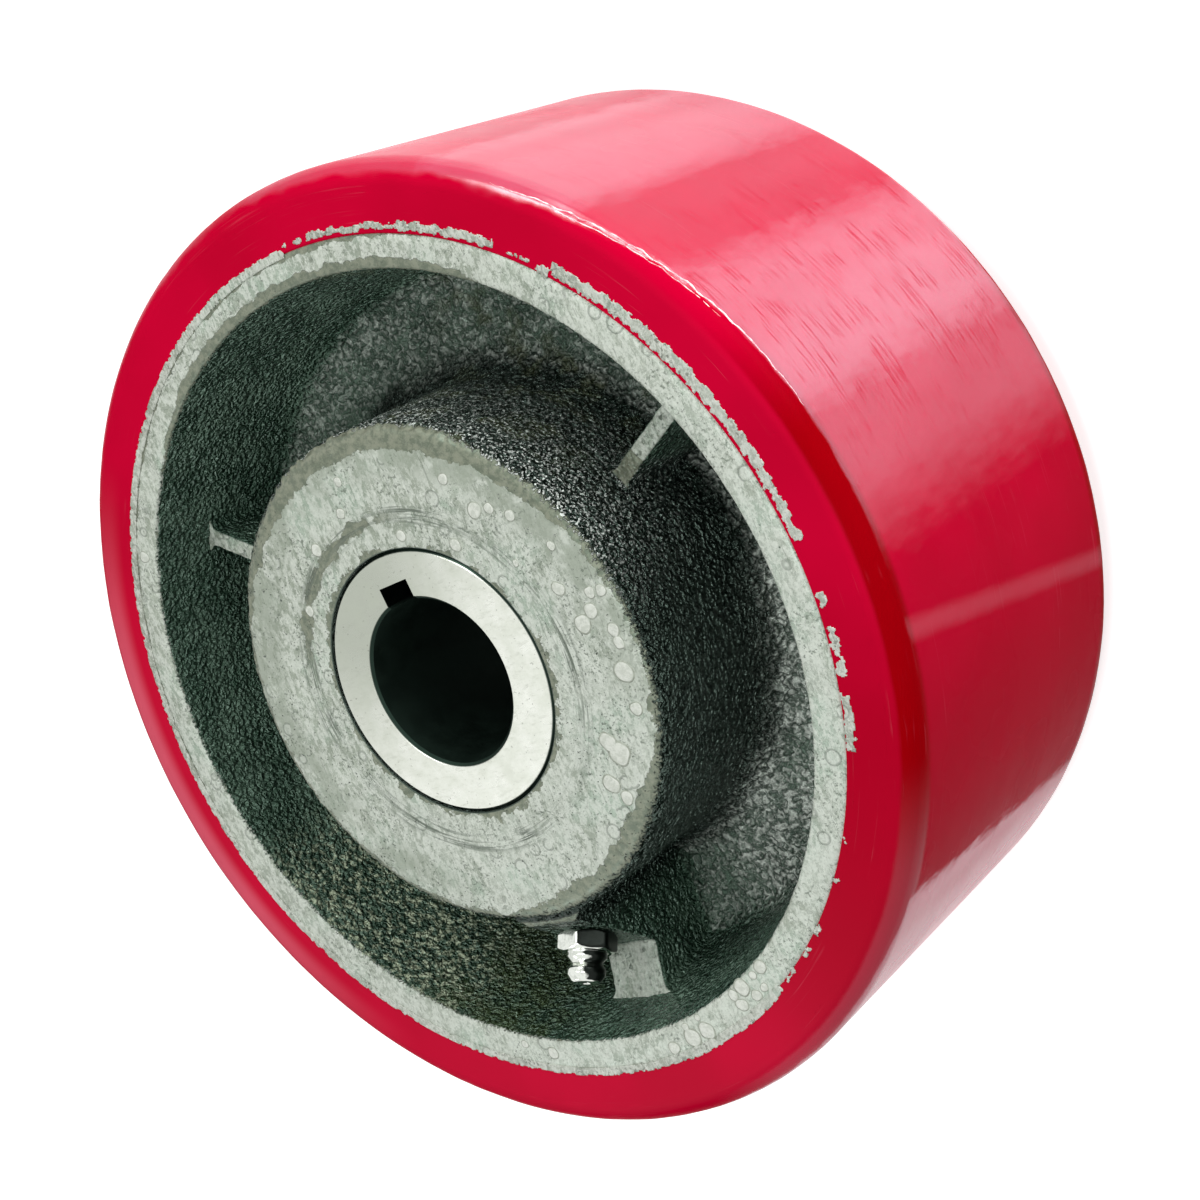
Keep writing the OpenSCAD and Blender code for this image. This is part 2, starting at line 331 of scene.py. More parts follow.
def buildDrops():
    # dried drops and rings in a coat of paint
    inputs = {"Place": "Vector", "Size": "Float", "Share": "Float"}
    tree, given, out = newGroup("drops", inputs, {"Drop": "Float", "Ring": "Float"})
    scale = calc(tree, "DIVIDE", 1.0, given["Size"])
    cells = addNode(tree, "TexVoronoi", {"Vector": given["Place"], "Scale": scale, "Randomness": 0.9}).outputs
    pick = addNode(tree, "SeparateColor", {0: cells["Color"]}).outputs
    chosen = calc(tree, "LESS_THAN", pick[0], given["Share"])
    inside = minus(tree, scaled(tree, pick[1], 0.2, 0.2), cells["Distance"])
    near = calc(tree, "ABSOLUTE", inside)
    feed(tree, out, {
        "Drop": times(tree, ramp(tree, inside, -0.02, 0.04), chosen),
        "Ring": times(tree, ramp(tree, near, 0.015, 0.06, 1.0, 0.0), chosen),
    })
    return tree


wheelPlace = buildWheelPlace()
sector = buildSector()
castGrain = buildCastGrain()
drops = buildDrops()
print("shared effects ready")


# materials; a stretch of angle round the axle is given as (centre, half, softness) in degrees

castIron = {
    # barrel: dark iron and painted shade beside the hub; wall: iron lightened as painted light and glints
    "barrel": (colour(4, 9, 7), colour(16, 26, 21)),
    "wall": (colour(56, 82, 66), colour(92, 118, 100)),
    # pale dust, partly painted light
    "dustAndLight": colour(238, 246, 236),
    # the colour of painted glints
    "speck": colour(244, 250, 244),
    "moss": colour(96, 100, 68),
    "damp": colour(62, 76, 34),
    "crust": colour(200, 212, 180),
    # the colour of a painted shadow
    "paintedShadow": colour(6, 9, 8),
    "roughness": (0.14, 0.26),
    "relief": 1.5,
    "gloss": 0.8,
    "sheen": (0.72, 1.0, 0.84, 1.0),
    "dustAndLightSide": (-34, 38, 12),
    "mossSide": (62, 24, 10),
    "dampSide": (-112, 13, 6),
    "crustSide": (-138, 19, 7),
    "paintedShadowSide": (113, 9, 3),
    "glintSide": (64, 50, 16),
    # paint and painted glints on the hub's burrs
    "burrGlintSide": (84, 26, 12),
}
silverPaint = {
    "white": colour(226, 230, 220),
    "fresh": colour(210, 215, 205),
    "thin": colour(180, 188, 173),
    "worn": colour(146, 153, 138),
    "bare": (colour(86, 91, 74), colour(128, 130, 112)),
    # painted shade in the gap round the bushing
    "seam": colour(24, 30, 26),
    "mark": colour(92, 97, 86),
    "green": colour(166, 188, 170),
    "roughness": (0.36, 0.58),
    "filmRoughness": 0.5,
    "dropRoughness": 0.42,
    "wholeSide": (-50, 85, 60),
    "tiredSide": (117, 128, 16),
    "hubEdgeSides": ((85, 55, 25), (-62, 26, 15)),
    "stripSide": (122, 40, 10),
    "rimEdgeSide": (92, 34, 14),
    "outerEdgeSide": (130, 62, 14),
}


def placeOf(tree):
    return useGroup(tree, wheelPlace, {"Position": addNode(tree, "TexCoord", {}).outputs["Object"]})


def facing(tree):
    normal = addNode(tree, "NewGeometry", {}).outputs["Normal"]
    return addNode(tree, "SeparateXYZ", {0: normal}).outputs


def inSector(tree, angle, stretch):
    centre, half, soft = stretch
    return useGroup(tree, sector, {"Angle": angle, "Centre": centre, "Half": half, "Soft": soft})[0]


def underFace(tree, spot):
    # the depth under the machined face of the hub or the rim, and 1 on the hub's side
    hubSide = calc(tree, "LESS_THAN", spot["Radius"], wheel["hubSide"])
    faceTop = scaled(tree, hubSide, wheel["hubTop"] - wheel["rimTop"], wheel["rimTop"])
    return minus(tree, faceTop, spot["Height"]), hubSide


def ironColour(tree, spot, up, grain):
    look = castIron
    place, angle, radius = spot["Place"], spot["Angle"], spot["Radius"]
    patches = ramp(tree, cloud(tree, place, 9, 2), 0.35, 0.7)
    # painted shade and light: the barrel is darker and the wall lighter, partly the iron's own tones
    barrel = mix(tree, patches, *look["barrel"])
    wall = mix(tree, patches, *look["wall"])
    base = mix(tree, ramp(tree, radius, 55, 61), barrel, wall)
    # grey dust on the web, away from the hub and on the tops of the grain, with painted light:
    # on one side it is thicker and paler, standing in for the light that falls into the dish there
    web = times(tree, ramp(tree, spot["Height"], 22, 13), ramp(tree, radius, 53, 57, 0.2, 1.0))
    dust = ramp(tree, cloud(tree, place, 15, 3, 0.6), 0.3, 0.55, 0.6, 1.0)
    thick = inSector(tree, angle, look["dustAndLightSide"])
    laid = most(tree, up, times(tree, thick, 0.5))
    pits = ramp(tree, grain["Height"], 0.4, 1.0, 0.45, 1.0)
    pits = times(tree, pits, scaled(tree, grain["Wrinkles"], 1.3, 0.22))
    base = mix(tree, times(tree, dust, most(tree, thick, 0.38), web, laid, pits), base, look["dustAndLight"])
    moss = ramp(tree, cloud(tree, place, 7, 2), 0.5, 0.66, 0.0, 0.55)
    base = mix(tree, times(tree, moss, inSector(tree, angle, look["mossSide"])), base, look["moss"])
    # beside the fitting the rim's inner wall is mossy, and further left it has a pale crust
    damp = ramp(tree, cloud(tree, place, 9, 3, 0.6), 0.35, 0.55, 0.0, 0.85)
    damp = times(tree, damp, inSector(tree, angle, look["dampSide"]), ramp(tree, radius, 64, 72))
    base = mix(tree, damp, base, look["damp"])
    crust = ramp(tree, cloud(tree, place, 1.5, 3, 0.6), 0.46, 0.62)
    crust = times(tree, crust, inSector(tree, angle, look["crustSide"]), ramp(tree, radius, 70, 76))
    base = mix(tree, crust, base, look["crust"])
    # painted shadow: near-black at the foot of the barrel on one side, where its fillet lies in shade
    low = ramp(tree, radius, 61, 58)
    base = mix(tree, times(tree, inSector(tree, angle, look["paintedShadowSide"]), low, 0.9), base, look["paintedShadow"])
    # painted glints: bright specks on the grains just under the hub's edge stand in for glints of light
    near = ramp(tree, spot["Height"], wheel["hubTop"] - 42, wheel["hubTop"] - 4)
    near = times(tree, near, low, inSector(tree, angle, look["glintSide"]))
    return mix(tree, times(tree, ramp(tree, grain["Grit"], 0.55, 0.59), near), base, look["speck"])


def paintColour(tree, spot):
    # silver-grey paint with thin, worn and stained patches
    look = silverPaint
    place, angle, radius = spot["Place"], spot["Angle"], spot["Radius"]
    # the coat is whole on the lower right and thinner on the upper left
    mottle = ramp(tree, cloud(tree, place, 10, 5, 0.65), 0.38, 0.6)
    base = mix(tree, mottle, look["thin"], look["worn"])
    base = mix(tree, times(tree, inSector(tree, angle, look["wholeSide"]), 0.6), base, look["fresh"])
    stains = ramp(tree, cloud(tree, stretched(tree, place, (1.4, 0.8, 1)), 9, 5, 0.7), 0.5, 0.58, 0.0, 0.7)
    base = mix(tree, stains, base, look["worn"])
    tint = ramp(tree, cloud(tree, place, 12, 2), 0.48, 0.7, 0.0, 0.6)
    base = mix(tree, tint, base, look["green"])
    # whiter flakes of the top coat, with crinkled borders, and a fine unevenness all over
    crinkled = cloud(tree, stretched(tree, place, (1.7, 0.8, 1)), 3.0, 6, 0.78)
    base = mix(tree, ramp(tree, crinkled, 0.45, 0.53, 0.0, 0.75), base, look["fresh"])
    border = calc(tree, "ABSOLUTE", minus(tree, crinkled, 0.45))
    base = mix(tree, ramp(tree, border, 0.0, 0.018, 0.6, 0.0), base, look["mark"])
    fine = cloud(tree, stretched(tree, place, (1.15, 0.9, 1)), 0.8, 3, 0.8)
    base = mix(tree, ramp(tree, fine, 0.52, 0.64, 0.0, 0.45), base, look["worn"])
    base = mix(tree, ramp(tree, fine, 0.48, 0.36, 0.0, 0.45), base, look["white"])
    # the hub's outer part is stained, apart from the lower right
    tired = ramp(tree, cloud(tree, place, 7, 4, 0.65), 0.38, 0.56, 0.1, 0.75)
    tired = times(tree, tired, ramp(tree, radius, 40, 46), ramp(tree, radius, 60, 59))
    base = mix(tree, times(tree, tired, inSector(tree, angle, look["tiredSide"])), base, look["worn"])
    wet = ramp(tree, cloud(tree, place, 14, 1), 0.46, 0.66, 0.0, 0.55)
    marks = useGroup(tree, drops, {"Place": place, "Size": 4.4, "Share": wet})
    base = mix(tree, times(tree, marks["Drop"], 0.4), base, look["fresh"])
    base = mix(tree, times(tree, marks["Ring"], 0.45), base, look["mark"])
    # dark pin-pricks in clusters, and long thin scratches
    flecks = ramp(tree, cloud(tree, place, 0.9, 2, 0.7), 0.55, 0.64, 0.0, 0.75)
    few = ramp(tree, cloud(tree, stretched(tree, place, (0.9, 1.1, 1)), 8, 1), 0.47, 0.6)
    base = mix(tree, times(tree, flecks, few), base, look["mark"])
    lines = cloud(tree, stretched(tree, place, (2.6, 0.22, 1)), 1.6, 2, 0.6)
    return mix(tree, ramp(tree, lines, 0.66, 0.7, 0.0, 0.4), base, look["mark"]), marks


def wornPaint(tree, spot):
    # how far the paint is rubbed off: along the hub's edge and both edges of the rim's face, with
    # ragged borders, and in rubbed rings on the hub where a washer has turned
    look = silverPaint
    place, angle, radius = spot["Place"], spot["Angle"], spot["Radius"]
    ragged = minus(tree, cloud(tree, place, 4.5, 4, 0.68), 0.5)

    def past(side, reach, start, jag):
        # distance outwards from a ragged border, which a stretch of angle moves by its reach
        return minus(tree, scaled(tree, ragged, jag, radius), scaled(tree, side, reach, start))

    hubEdge = calc(tree, "ADD", *[inSector(tree, angle, side) for side in look["hubEdgeSides"]])
    hub = ramp(tree, past(hubEdge, -2.9, 50.3, 6.0), 0.0, 0.25)
    hub = times(tree, hub, calc(tree, "LESS_THAN", radius, 60))
    inner = ramp(tree, past(inSector(tree, angle, look["rimEdgeSide"]), 2.6, 81.2, 4.0), 0.0, -0.25)
    inner = times(tree, inner, calc(tree, "GREATER_THAN", radius, 79.5))
    outer = ramp(tree, past(inSector(tree, angle, look["outerEdgeSide"]), -1.6, 88.6, 3.4), 0.0, 0.25)
    # a ragged strip inside the rubbed rings, and chips beside the bushing
    gap = calc(tree, "ABSOLUTE", minus(tree, radius, 34.4))
    strip = ramp(tree, scaled(tree, ragged, 7.0, gap), 1.0, 1.3, 1.0, 0.0)
    strip = times(tree, strip, inSector(tree, angle, look["stripSide"]))
    chips = ramp(tree, scaled(tree, ragged, 9.0, radius), 28.6, 28.9, 1.0, 0.0)

    band = times(tree, ramp(tree, radius, 31.5, 34), ramp(tree, radius, 37.5, 35.5))
    spread = ramp(tree, cloud(tree, place, 13, 2), 0.35, 0.6, 0.2, 1.0)
    arcs = cloud(tree, stretched(tree, spot["Around"], (0.25, 0.25, 1.5)), 1.0, 3, 0.7)
    rings = times(tree, ramp(tree, arcs, 0.47, 0.6), band, spread)
    return most(tree, hub, strip, chips, inner, outer), rings


def buildIronAndPaint():
    # the casting's sandy skin, with silver-grey paint on its machined faces and on the ribs' tops
    material, tree, shader = newMaterial("ironAndPaint")
    spot = placeOf(tree)
    place, radius = spot["Place"], spot["Radius"]
    up = ramp(tree, calc(tree, "ABSOLUTE", facing(tree)[2]), 0.55, 0.9)
    grain = useGroup(tree, castGrain, {"Place": place})
    # paint caught on the burrs of the hub's edge reaches further down on one side, partly as painted glints
    depth, hubSide = underFace(tree, spot)
    burrPaintAndGlints = times(tree, inSector(tree, spot["Angle"], castIron["burrGlintSide"]), hubSide)
    edge = scaled(tree, minus(tree, grain["Grit"], 0.5), 2.4, depth)
    faces = ramp(tree, minus(tree, edge, scaled(tree, burrPaintAndGlints, 1.3, 0.55)), -0.2, 0.3, 1.0, 0.0)
    ribTops = times(tree, up, ramp(tree, spot["Height"], 16.5, 19), ramp(tree, radius, 53, 53.5))
    scuffed = ramp(tree, cloud(tree, place, 1.6, 4, 0.7), 0.3, 0.44, 0.65, 1.0)
    painted = most(tree, faces, times(tree, ribTops, scuffed, 0.9))

    coat, marks = paintColour(tree, spot)
    worn, rings = wornPaint(tree, spot)
    bare = mix(tree, ramp(tree, cloud(tree, place, 1.5, 4, 0.75), 0.38, 0.62), *silverPaint["bare"])
    coat = mix(tree, times(tree, worn, 0.95), coat, bare)
    coat = mix(tree, rings, coat, silverPaint["mark"])
    # painted shade: a dark ring round the bushing, where the gap between it and the hub lies in shade
    seam = scaled(tree, cloud(tree, place, 1.2, 2), 0.25, radius)
    coat = mix(tree, ramp(tree, seam, 28.2, 28.4, 0.95, 0.0), coat, silverPaint["seam"])

    ironShine = ramp(tree, cloud(tree, place, 5, 2), 0.3, 0.7, *castIron["roughness"])
    paintShine = ramp(tree, cloud(tree, place, 3, 2), 0.3, 0.7, *silverPaint["roughness"])
    relief = scaled(tree, grain["Wrinkles"], 0.5, grain["Height"])
    sandy = times(tree, relief, minus(tree, 1.0, painted))
    film = scaled(tree, marks["Ring"], 0.08, times(tree, painted, 0.5))
    film = minus(tree, film, times(tree, calc(tree, "ADD", worn, rings), 0.1))
    feed(tree, shader, {
        "Base Color": mix(tree, painted, ironColour(tree, spot, up, grain), coat),
        "Roughness": addNode(tree, "Mix", {0: painted, 2: ironShine, 3: paintShine}).outputs[0],
        "Specular IOR Level": castIron["gloss"],
        "Specular Tint": castIron["sheen"],
        "Normal": bump(tree, calc(tree, "ADD", sandy, film), castIron["relief"]),
    })
    return material


treadFinish = {
    "red": colour(208, 0, 50),
    "deepRed": colour(196, 0, 44),
    # painted shade on one side of the tread
    "shadedRed": colour(172, 0, 30),
    # painted shade on the rounded corner
    "cornerShadeRed": colour(156, 0, 4),
    # the colour of a painted reflection haze
    "paintedHazeRed": colour(210, 16, 112),
    "scuff": colour(236, 120, 140),
    "ior": 1.03,
    "bloomIor": 2.4,
    "bloomRoughness": 0.2,
    "shadedRedSide": (-33, 24, 14),
    "cornerShadeSide": (-8, 30, 10),
    "chalkSide": (186, 32, 18),
    "thinSide": (-122, 80, 25),
    "riseSide": (-62, 20, 8),
    "scoredSide": (24, 16, 8),
    "cornerHazeSide": (-50, 22, 8),
    "lineSide": (38, 15, 5),
    "climb": (15, 52, 40.1, 43.4),  # the bloom climbs the corner from angle to angle, height to height
    # the bloom is glossier, and in colour it is a painted pink reflection haze
    # where the turned surface has a hazy bloom: centre, half and softness in degrees, strength, how
    # far its edges lean in degrees for each mm of height, and how jagged they are in degrees
    "bloom": [
        (24, 10, 5, 1.0, 0, 5), (11, 8, 6, 0.5, 0, 5), (44, 14, 3, 0.36, 0, 5), (55, 11, 4, 0.72, 0, 5),
        (72, 20, 6, 0.38, 0, 5), (-67, 23, 1.2, 0.62, 0.075, 5), (-17, 1.0, 0.8, 0.16, 0.1, 0.8),
        (135, 38, 14, 0.3, 0.05, 5), (-140, 26, 12, 0.3, 0.05, 5),
    ],
}


def buildTreadRed():
    material, tree, shader = newMaterial("treadRed")
    look = treadFinish
    spot = placeOf(tree)
    place, angle = spot["Place"], spot["Angle"]

    def within(name):
        return inSector(tree, angle, look[name])

    corner = ramp(tree, calc(tree, "ADD", spot["Radius"], spot["Height"]), 139.5, 141.5)
    side = ramp(tree, spot["Height"], 43.9, 44.3)
    rounded = times(tree, corner, minus(tree, 1.0, side))
    base = mix(tree, ramp(tree, cloud(tree, place, 30, 2), 0.3, 0.7), look["red"], look["deepRed"])
    # painted shade: a darker red on one side of the tread
    base = mix(tree, times(tree, within("shadedRedSide"), 0.7), base, look["shadedRed"])
    # painted shade: a deeper red on the rounded corner, on one side
    base = mix(tree, times(tree, rounded, within("cornerShadeSide"), 0.9), base, look["cornerShadeRed"])
    # a chalky haze on the left and lower side wall, thickest on the left near the corner
    chalk = times(tree, within("chalkSide"), ramp(tree, spot["Radius"], 91.5, 96))
    chalk = scaled(tree, chalk, 0.5, scaled(tree, within("thinSide"), 0.035, 0.008))
    base = mix(tree, times(tree, side, chalk), base, look["scuff"])
    rubbed = cloud(tree, stretched(tree, spot["Around"], (0.25, 0.25, 2.2)), 1.0, 3, 0.7)
    few = ramp(tree, cloud(tree, place, 12, 2), 0.5, 0.62)
    scratches = times(tree, ramp(tree, rubbed, 0.6, 0.72), few)
    base = mix(tree, times(tree, scratches, 0.12), base, look["scuff"])
    shine = ramp(tree, cloud(tree, place, 18, 2), 0.3, 0.7, 0.2, 0.3)

    # the bloom lies on the running surface, with leaning and jagged edges, and climbs the corner on
    # one side, where a polished line ends it
    limit = scaled(tree, within("riseSide"), 1.8, ramp(tree, angle, *look["climb"]))
    limit = scaled(tree, minus(tree, cloud(tree, place, 7, 2), 0.5), 1.6, limit)
    above = minus(tree, spot["Height"], limit)
    height = addNode(tree, "SeparateXYZ", {0: place}).outputs[2]
    jagged = minus(tree, cloud(tree, stretched(tree, place, (1, 1, 0.3)), 2.4, 3, 0.7), 0.5)
    bloom = 0.01
    for centre, half, soft, strength, lean, jag in look["bloom"]:
        leaning = scaled(tree, height, -lean, scaled(tree, jagged, jag, angle))
        bloom = most(tree, bloom, times(tree, inSector(tree, leaning, (centre, half, soft)), strength))
    bands = ramp(tree, cloud(tree, stretched(tree, place, (1, 1, 0.12)), 16, 1), 0.3, 0.6, 0.8, 1.0)
    # short fine scratches along the turning direction break it up in places
    scored = cloud(tree, stretched(tree, spot["Around"], (1.1, 1.1, 2.4)), 1.0, 3, 0.7)
    where = ramp(tree, cloud(tree, place, 10, 3, 0.6), 0.42, 0.58, 0.05, 0.6)
    scored = times(tree, ramp(tree, scored, 0.5, 0.6), where, most(tree, within("scoredSide"), 0.3))
    running = ramp(tree, above, -0.2, 0.7, 1.0, 0.0)
    bloom = times(tree, bloom, bands, minus(tree, 1.0, scored), running)
    bloom = most(tree, bloom, times(tree, within("cornerHazeSide"), 0.2, rounded))
    broken = ramp(tree, cloud(tree, stretched(tree, place, (1, 1, 2.5)), 2.6, 3, 0.6), 0.4, 0.5, 0.25, 1.0)
    line = times(tree, ramp(tree, above, -0.8, -0.2), ramp(tree, above, 0.1, 0.5, 1.0, 0.0))

    pits = addNode(tree, "TexVoronoi", {"Vector": place, "Scale": 1 / 7}).outputs["Distance"]
    ripple = scaled(tree, cloud(tree, place, 6, 2), 0.3, times(tree, scratches, -0.06))
    feed(tree, shader, {
        # the bloom's pink is a painted reflection haze
        "Base Color": mix(tree, times(tree, bloom, 0.45), base, look["paintedHazeRed"]),
        "Roughness": scaled(tree, scratches, 0.15, shine),
        "Coat Weight": most(tree, bloom, times(tree, line, broken, within("lineSide"))),
        "Coat Roughness": look["bloomRoughness"],
        "Coat IOR": look["bloomIor"],
        "IOR": look["ior"],
        "Normal": bump(tree, scaled(tree, ramp(tree, pits, 0.03, 0.07), 0.1, ripple), 0.3),
    })
    return material


lipFinish = {
    # pale pink as a painted highlight
    "highlightReds": (colour(248, 206, 212), colour(226, 90, 118)),
    "shine": {"Roughness": 0.2, "Coat Weight": 1.0, "Coat Roughness": 0.08, "Coat IOR": 2.6},
}


def buildLipRedAndHighlight():
    # the mould's fine lips shine more than the tread, and their pale pink is a painted highlight
    material, tree, shader = newMaterial("lipRedAndHighlight")
    spots = ramp(tree, cloud(tree, placeOf(tree)["Place"], 2, 3), 0.4, 0.6)
    feed(tree, shader, {"Base Color": mix(tree, spots, *lipFinish["highlightReds"]), **lipFinish["shine"]})
    return material


def buildPaintFilm():
    material, tree, shader = newMaterial("paintFilm")
    spot = placeOf(tree)
    coat = paintColour(tree, spot)[0]
    thin = ramp(tree, cloud(tree, spot["Place"], 1.4, 3), 0.5, 0.7, 0.0, 0.4)
    feed(tree, shader, {
        "Base Color": mix(tree, thin, coat, silverPaint["worn"]),
        "Roughness": silverPaint["filmRoughness"],
        "Normal": bump(tree, cloud(tree, spot["Place"], 0.6, 3), 0.12),
    })
    return material


def buildDropPaint():
    # drops of thick pale paint with a dark line round each
    material, tree, shader = newMaterial("dropPaint")
    look = silverPaint
    spot = placeOf(tree)
    depth = underFace(tree, spot)[0]
    uneven = ramp(tree, cloud(tree, spot["Place"], 1.1, 4, 0.75), 0.42, 0.58, 0.0, 0.7)
    pale = mix(tree, 0.3, mix(tree, uneven, look["white"], look["thin"]), look["fresh"])
    line = mix(tree, uneven, look["worn"], look["thin"])
    feed(tree, shader, {
        "Base Color": mix(tree, ramp(tree, depth, -0.02, -0.06), line, pale),
        "Roughness": look["dropRoughness"],
    })
    return material


bushingSteel = {
    "bright": (colour(236, 239, 230), colour(206, 210, 199)),
    "brushed": colour(186, 190, 178),
    # painted shade on one side of the steel
    "steelShade": colour(166, 172, 159),
    "speck": colour(120, 122, 114),
    # grime and painted shade
    "grimeAndShade": colour(30, 34, 30),
    # dark with oil and with painted shade
    "bore": colour(38, 52, 45),
    "steelShadeSide": (125, 62, 45),
    "roughness": (0.26, 0.38),
}


def buildTurnedSteel():
    # the bushing: bright turned ends, and a bore and keyway darkened by oil and by painted shade
    material, tree, shader = newMaterial("turnedSteel")
    look = bushingSteel
    spot = placeOf(tree)
    place, radius = spot["Place"], spot["Radius"]
    ends = ramp(tree, spot["Height"], wheel["hubTop"] - 0.3, wheel["hubTop"] - 0.1)
    mottle = ramp(tree, cloud(tree, place, 5, 4, 0.6), 0.3, 0.7)
    bright = mix(tree, mottle, *look["bright"])
    brushed = cloud(tree, stretched(tree, place, (0.5, 1.6, 1)), 1.4, 4, 0.75)
    bright = mix(tree, ramp(tree, brushed, 0.5, 0.7, 0.0, 0.5), bright, look["brushed"])
    # painted shade: the steel is darker on one side, standing in for a dimmer reflection there
    steelShade = times(tree, inSector(tree, spot["Angle"], look["steelShadeSide"]), 0.85)
    bright = mix(tree, steelShade, bright, look["steelShade"])
    specks = ramp(tree, cloud(tree, place, 0.8, 2), 0.68, 0.74, 0.0, 0.5)
    bright = mix(tree, specks, bright, look["speck"])
    # grime and painted shade in the gap where the bushing meets the hub, and at the mouth of the bore
    grimeAndShade = most(tree, ramp(tree, radius, 27.45, 27.65), ramp(tree, radius, 18.1, 17.8))
    bright = mix(tree, times(tree, grimeAndShade, 0.85), bright, look["grimeAndShade"])
    lines = cloud(tree, stretched(tree, spot["Around"], (0.2, 0.2, 3.0)), 1.0, 3, 0.7)
    feed(tree, shader, {
        "Base Color": mix(tree, ends, look["bore"], bright),
        "Metallic": 1.0,
        "Roughness": scaled(tree, grimeAndShade, 0.3, ramp(tree, mottle, 0.0, 1.0, *look["roughness"])),
        "Normal": bump(tree, lines, 0.02),
    })
    return material


chromePlating = {
    "chrome": (colour(232, 236, 228), colour(160, 166, 156)),
    # the colour of a painted dark reflection
    "grease": colour(14, 20, 17),
}


def buildPlating():
    # bright chrome with a painted dark reflection on the facets towards the wide rib, broken in streaks
    material, tree, shader = newMaterial("brightPlating")
    place = placeOf(tree)["Place"]
    streaks = minus(tree, cloud(tree, stretched(tree, place, (0.3, 1, 1)), 0.9, 3, 0.6), 0.5)
    grease = ramp(tree, scaled(tree, streaks, 0.3, facing(tree)[0]), 0.5, 0.64, 0.0, 0.985)
    tarnish = ramp(tree, cloud(tree, place, 1.4, 3, 0.6), 0.45, 0.65, 0.0, 0.35)
    chrome = mix(tree, tarnish, *chromePlating["chrome"])
    feed(tree, shader, {
        "Base Color": mix(tree, grease, chrome, chromePlating["grease"]),
        "Metallic": 1.0,
        "Roughness": scaled(tree, grease, 0.2, 0.12),
        "Normal": bump(tree, cloud(tree, place, 1.2, 2), 0.02),
    })
    return material


def buildPlainSteel(name, base, roughness):
    material, tree, shader = newMaterial(name)
    feed(tree, shader, {"Base Color": base, "Metallic": 1.0, "Roughness": roughness})
    return material


ironAndPaint = buildIronAndPaint()
treadRed = buildTreadRed()
lipRedAndHighlight = buildLipRedAndHighlight()
paintFilm = buildPaintFilm()
turnedSteel = buildTurnedSteel()
brightPlating = buildPlating()
dropPaint = buildDropPaint()
ballSteel = buildPlainSteel("ballSteel", colour(200, 200, 202), 0.2)
springSteel = buildPlainSteel("springSteel", colour(160, 160, 162), 0.35)
print("materials ready")


# core casting

coreShape = {
    "boreR": 27.95,
    "boreEdge": 0.15,
    "hubR": 52.4,
    "hubEdge": 2.7,
    "hubSlope": 1.0,
    "webHalf": 9.5,
    "hubFillet": 7.0,
    "rimFillet": 5.0,
    "rimInner": 81.5,
    "rimSlope": 9.4,
    "rimEdge": 0.8,
    "rimFace": 87.7,
    "rimOuter": 88.86,
    "seam": 63.0,
    "skin": (28.5, 86),  # the rough skin lies between these radii
    "burrTurn": 88,  # the burrs of the hub's edge are largest round this angle
    # turning steps of the hub and of the rim, and the step along the outline, front and rear
    "detail": {1: (640, 820, 0.62), -1: (420, 540, 1.2)},
}


def barrelR(height):
    fall = wheel["hubTop"] - coreShape["hubEdge"] - height
    return coreShape["hubR"] + fall * slope(coreShape["hubSlope"])


def rimWallR(height):
    return coreShape["rimInner"] - (wheel["rimTop"] - height) * slope(coreShape["rimSlope"])


def castSkin(place):
    # sandy lumps on the cast surfaces, none on the machined faces, and burrs along the hub's edge
    radius = math.hypot(place.x, place.y)
    height = abs(place.z - wheel["middle"])
    top = wheel["hubTop"] if radius < wheel["hubSide"] else wheel["rimTop"]
    inside, outside = coreShape["skin"]
    if radius < inside or radius > outside or height < 5:
        return 0.0
    amount = smooth(0.1, 1.0, top - height)
    rough = 0.15 * lumps(place, 4.2, 3.1) + 0.3 * (0.4 - abs(lumps(place, 1.9, 7.7)) * 2)
    if radius > 60:
        return amount * rough
    rough += 0.35 * lumps(place, 13, 5.7) * smooth(1, 6, top - height)
    turn = (math.degrees(math.atan2(place.y, place.x)) - coreShape["burrTurn"] + 180) % 360 - 180
    burr = smooth(3.0, 0.9, top - height) * smooth(0.15, 0.7, top - height) * smooth(49.4, 51.2, radius)
    return amount * rough + burr * (0.25 + 0.5 * smooth(45, 20, abs(turn))) * lumps(place, 1.7, 5.3)


def buildCoreHalf(label, side):
    shape = coreShape
    hubTurns, rimTurns, step = shape["detail"][side]
    top, rim, web = wheel["hubTop"], wheel["rimTop"], shape["webHalf"]
    bevel = shape["rimOuter"] - shape["rimFace"]
    hub = roundedLine([
        (shape["boreR"], 0, 0, 60),
        (shape["boreR"], top, shape["boreEdge"], 3.0),
        (shape["hubR"], top, shape["hubEdge"], step),
        (barrelR(web), web, shape["hubFillet"], step),
        (shape["seam"], web, 0, step),
    ])
    rimLine = roundedLine([
        (shape["seam"], web, 0, step),
        (rimWallR(web), web, shape["rimFillet"], step),
        (shape["rimInner"], rim, shape["rimEdge"], 1.5),
        (shape["rimFace"], rim, 0, 0.6),
        (shape["rimOuter"], rim - bevel, 0, 60),
        (shape["rimOuter"], 0, 0, 60),
    ])
    foot = [(shape["seam"], 0)]
    return [
        lathe("hub" + label, hub, foot, hubTurns, side, ironAndPaint, castSkin),
        lathe("rim" + label, rimLine, foot, rimTurns, side, ironAndPaint, castSkin),
    ]


castings = buildCoreHalf("Front", 1) + buildCoreHalf("Rear", -1)
print("core castings", [len(piece.data.polygons) for piece in castings])


# ribs

